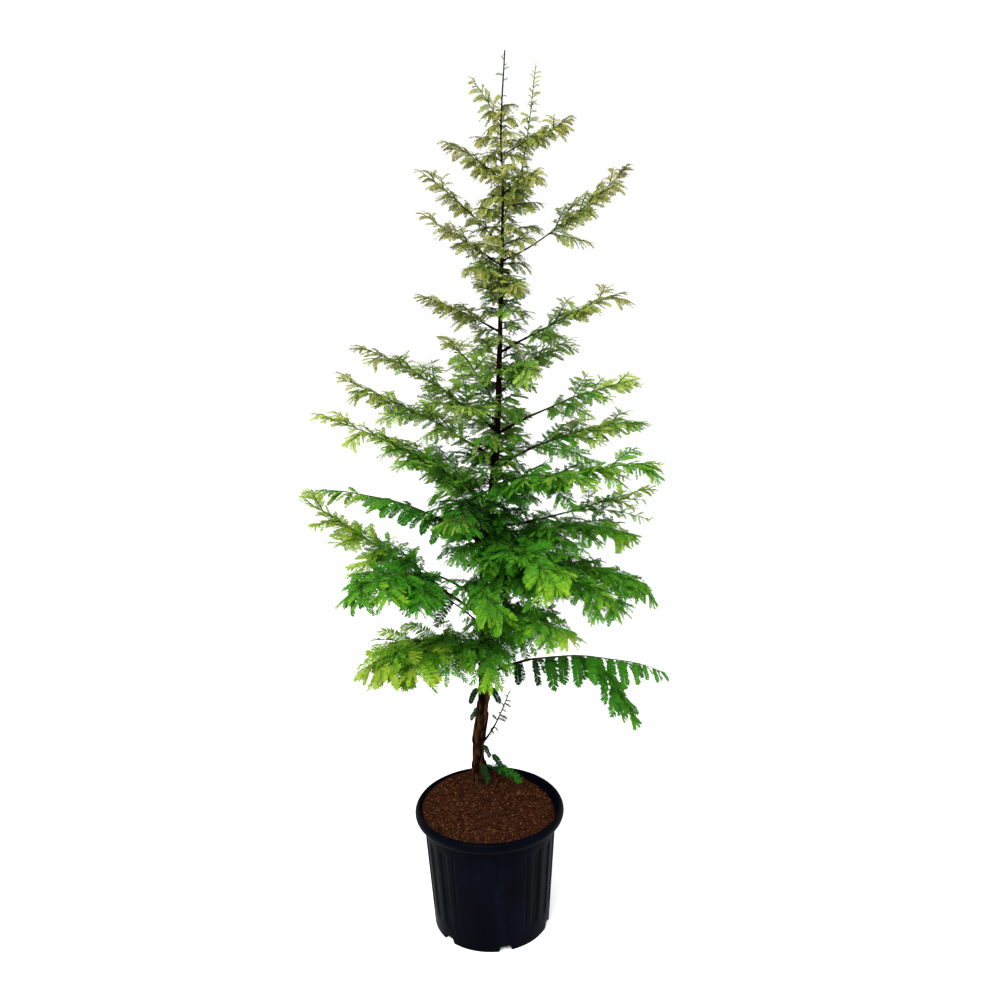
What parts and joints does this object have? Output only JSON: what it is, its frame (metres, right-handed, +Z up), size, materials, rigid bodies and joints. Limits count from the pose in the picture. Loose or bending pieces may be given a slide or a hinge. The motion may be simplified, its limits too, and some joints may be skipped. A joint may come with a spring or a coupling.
{
  "type": "potted dawn redwood tree",
  "caption": "Young deciduous conifer with a slim tapering trunk, arching boughs and feathery needle sprays, standing in a round nursery pot filled with potting mix.",
  "frame": {"origin": "centre of the pot's flat underside, on the level surface that it stands on", "axes": "+Z up, -Y towards the side that the picture shows, +X to the right as seen from there"},
  "size_m": [0.7114, 0.5387, 1.686],
  "materials": {
    "pot_plastic": "moulded black plastic, satin, lightly scuffed",
    "potting_mix": "loose bark and peat, matt",
    "bark": "peeling red-brown bark, matt",
    "bough_bark": "thin dark bark, matt",
    "needles": "soft fresh needles, satin"
  },
  "bodies": {
    "root": {"bough_01": "bough_bark", "bough_06": "bough_bark", "bough_13": "bough_bark", "bough_15": "bough_bark", "bough_16": "bough_bark", "bough_19": "bough_bark", "bough_23": "bough_bark", "bough_24": "bough_bark", "bough_25": "bough_bark", "bough_31": "bough_bark", "bough_37": "bough_bark", "foliage_01": "needles", "foliage_02": "needles", "foliage_03": "needles", "foliage_04": "needles", "foliage_05": "needles", "foliage_06": "needles", "foliage_07": "needles", "foliage_08": "needles", "foliage_09": "needles", "foliage_10": "needles", "foliage_11": "needles", "foliage_12": "needles", "foliage_13": "needles", "foliage_14": "needles", "foliage_15": "needles", "foliage_16": "needles", "foliage_17": "needles", "foliage_18": "needles", "foliage_19": "needles", "foliage_20": "needles", "foliage_21": "needles", "foliage_22": "needles", "foliage_23": "needles", "foliage_24": "needles", "foliage_25": "needles", "foliage_26": "needles", "foliage_27": "needles", "foliage_28": "needles", "foliage_29": "needles", "foliage_30": "needles", "foliage_31": "needles", "foliage_32": "needles", "foliage_33": "needles", "foliage_34": "needles", "foliage_35": "needles", "foliage_36": "needles", "foliage_37": "needles", "foliage_38": "needles", "foliage_39": "needles", "foliage_40": "needles", "foliage_41": "needles", "foliage_42": "needles", "foliage_43": "needles", "foliage_44": "needles", "pot": "pot_plastic", "potting_mix": "potting_mix", "sprout_bare": "needles", "sprout_leafy": "needles", "trunk": "bark"}
  },
  "joints": []
}
